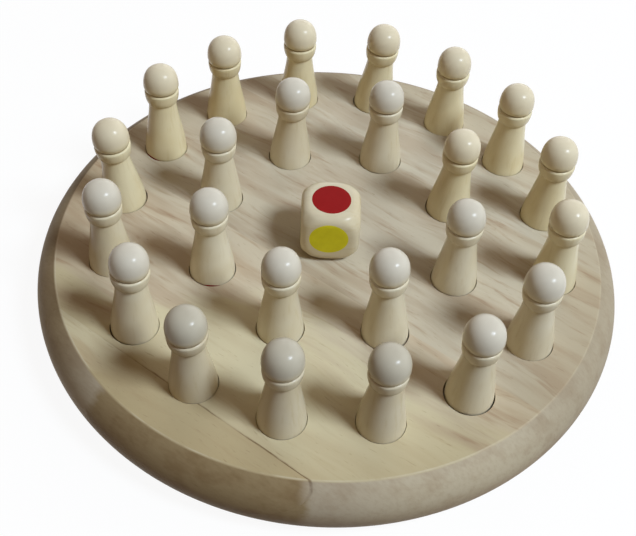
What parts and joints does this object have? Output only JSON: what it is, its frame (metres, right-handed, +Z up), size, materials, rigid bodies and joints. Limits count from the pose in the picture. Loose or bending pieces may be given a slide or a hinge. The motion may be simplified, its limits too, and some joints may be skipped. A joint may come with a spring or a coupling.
{
  "type": "wooden colour memory game",
  "caption": "Round wooden memory game: a disc board with two rings of loose turned pegs that stand in shallow holes and hide coloured feet, and a colour die in the middle.",
  "frame": {"origin": "middle of the board's flat underside", "axes": "+Z up along the pegs, -Y to the front as pictured, +X to the right"},
  "size_m": [0.185, 0.185, 0.0534],
  "materials": {
    "board_wood": "sanded pale hardwood with a thin satin seal",
    "peg_lacquer": "turned hardwood under clear gloss lacquer",
    "die_lacquer": "tumbled hardwood under clear gloss lacquer",
    "paint_yellow": "yellow enamel paint",
    "paint_green": "green enamel paint",
    "paint_blue": "blue enamel paint",
    "paint_purple": "purple enamel paint",
    "paint_orange": "orange enamel paint",
    "paint_red": "red enamel paint"
  },
  "bodies": {
    "board": {"board_stave_1": "board_wood", "board_stave_2": "board_wood", "board_stave_3": "board_wood", "board_stave_4": "board_wood"},
    "outer_01": {"outer_peg_01": "peg_lacquer", "outer_paint_01": "paint_yellow"},
    "outer_02": {"outer_peg_02": "peg_lacquer", "outer_paint_02": "paint_green"},
    "outer_03": {"outer_peg_03": "peg_lacquer", "outer_paint_03": "paint_blue"},
    "outer_04": {"outer_peg_04": "peg_lacquer", "outer_paint_04": "paint_purple"},
    "outer_05": {"outer_peg_05": "peg_lacquer", "outer_paint_05": "paint_orange"},
    "outer_06": {"outer_peg_06": "peg_lacquer", "outer_paint_06": "paint_red"},
    "outer_07": {"outer_peg_07": "peg_lacquer", "outer_paint_07": "paint_yellow"},
    "outer_08": {"outer_peg_08": "peg_lacquer", "outer_paint_08": "paint_green"},
    "outer_09": {"outer_peg_09": "peg_lacquer", "outer_paint_09": "paint_blue"},
    "outer_10": {"outer_peg_10": "peg_lacquer", "outer_paint_10": "paint_purple"},
    "outer_11": {"outer_peg_11": "peg_lacquer", "outer_paint_11": "paint_orange"},
    "outer_12": {"outer_peg_12": "peg_lacquer", "outer_paint_12": "paint_red"},
    "outer_13": {"outer_peg_13": "peg_lacquer", "outer_paint_13": "paint_yellow"},
    "outer_14": {"outer_peg_14": "peg_lacquer", "outer_paint_14": "paint_green"},
    "outer_15": {"outer_peg_15": "peg_lacquer", "outer_paint_15": "paint_blue"},
    "outer_16": {"outer_peg_16": "peg_lacquer", "outer_paint_16": "paint_purple"},
    "inner_01": {"inner_peg_01": "peg_lacquer", "inner_paint_01": "paint_orange"},
    "inner_02": {"inner_peg_02": "peg_lacquer", "inner_paint_02": "paint_red"},
    "inner_03": {"inner_peg_03": "peg_lacquer", "inner_paint_03": "paint_yellow"},
    "inner_04": {"inner_peg_04": "peg_lacquer", "inner_paint_04": "paint_green"},
    "inner_05": {"inner_peg_05": "peg_lacquer", "inner_paint_05": "paint_blue"},
    "inner_06": {"inner_peg_06": "peg_lacquer", "inner_paint_06": "paint_purple"},
    "inner_07": {"inner_peg_07": "peg_lacquer", "inner_paint_07": "paint_orange"},
    "inner_08": {"inner_peg_08": "peg_lacquer", "inner_paint_08": "paint_red"},
    "die": {"die": "die_lacquer", "die_spot_red": "paint_red", "die_spot_yellow": "paint_yellow", "die_spot_blue": "paint_blue", "die_spot_green": "paint_green", "die_spot_orange": "paint_orange", "die_spot_purple": "paint_purple"}
  },
  "joints": [
    {"name": "outer_01_lift", "type": "slide", "parent": "board", "child": "outer_01", "axis": [0, 0, 1], "range_m": [0, 0.045]},
    {"name": "outer_02_lift", "type": "slide", "parent": "board", "child": "outer_02", "axis": [0, 0, 1], "range_m": [0, 0.045]},
    {"name": "outer_03_lift", "type": "slide", "parent": "board", "child": "outer_03", "axis": [0, 0, 1], "range_m": [0, 0.045]},
    {"name": "outer_04_lift", "type": "slide", "parent": "board", "child": "outer_04", "axis": [0, 0, 1], "range_m": [0, 0.045]},
    {"name": "outer_05_lift", "type": "slide", "parent": "board", "child": "outer_05", "axis": [0, 0, 1], "range_m": [0, 0.045]},
    {"name": "outer_06_lift", "type": "slide", "parent": "board", "child": "outer_06", "axis": [0, 0, 1], "range_m": [0, 0.045]},
    {"name": "outer_07_lift", "type": "slide", "parent": "board", "child": "outer_07", "axis": [0, 0, 1], "range_m": [0, 0.045]},
    {"name": "outer_08_lift", "type": "slide", "parent": "board", "child": "outer_08", "axis": [0, 0, 1], "range_m": [0, 0.045]},
    {"name": "outer_09_lift", "type": "slide", "parent": "board", "child": "outer_09", "axis": [0, 0, 1], "range_m": [0, 0.045]},
    {"name": "outer_10_lift", "type": "slide", "parent": "board", "child": "outer_10", "axis": [0, 0, 1], "range_m": [0, 0.045]},
    {"name": "outer_11_lift", "type": "slide", "parent": "board", "child": "outer_11", "axis": [0, 0, 1], "range_m": [0, 0.045]},
    {"name": "outer_12_lift", "type": "slide", "parent": "board", "child": "outer_12", "axis": [0, 0, 1], "range_m": [0, 0.045]},
    {"name": "outer_13_lift", "type": "slide", "parent": "board", "child": "outer_13", "axis": [0, 0, 1], "range_m": [0, 0.045]},
    {"name": "outer_14_lift", "type": "slide", "parent": "board", "child": "outer_14", "axis": [0, 0, 1], "range_m": [0, 0.045]},
    {"name": "outer_15_lift", "type": "slide", "parent": "board", "child": "outer_15", "axis": [0, 0, 1], "range_m": [0, 0.045]},
    {"name": "outer_16_lift", "type": "slide", "parent": "board", "child": "outer_16", "axis": [0, 0, 1], "range_m": [0, 0.045]},
    {"name": "inner_01_lift", "type": "slide", "parent": "board", "child": "inner_01", "axis": [0, 0, 1], "range_m": [0, 0.045]},
    {"name": "inner_02_lift", "type": "slide", "parent": "board", "child": "inner_02", "axis": [0, 0, 1], "range_m": [0, 0.045]},
    {"name": "inner_03_lift", "type": "slide", "parent": "board", "child": "inner_03", "axis": [0, 0, 1], "range_m": [0, 0.045]},
    {"name": "inner_04_lift", "type": "slide", "parent": "board", "child": "inner_04", "axis": [0, 0, 1], "range_m": [0, 0.045]},
    {"name": "inner_05_lift", "type": "slide", "parent": "board", "child": "inner_05", "axis": [0, 0, 1], "range_m": [0, 0.045]},
    {"name": "inner_06_lift", "type": "slide", "parent": "board", "child": "inner_06", "axis": [0, 0, 1], "range_m": [0, 0.045]},
    {"name": "inner_07_lift", "type": "slide", "parent": "board", "child": "inner_07", "axis": [0, 0, 1], "range_m": [0, 0.045]},
    {"name": "inner_08_lift", "type": "slide", "parent": "board", "child": "inner_08", "axis": [0, 0, 1], "range_m": [0, 0.045]},
    {"name": "die_lift", "type": "slide", "parent": "board", "child": "die", "axis": [0, 0, 1], "range_m": [0, 0.045]}
  ]
}
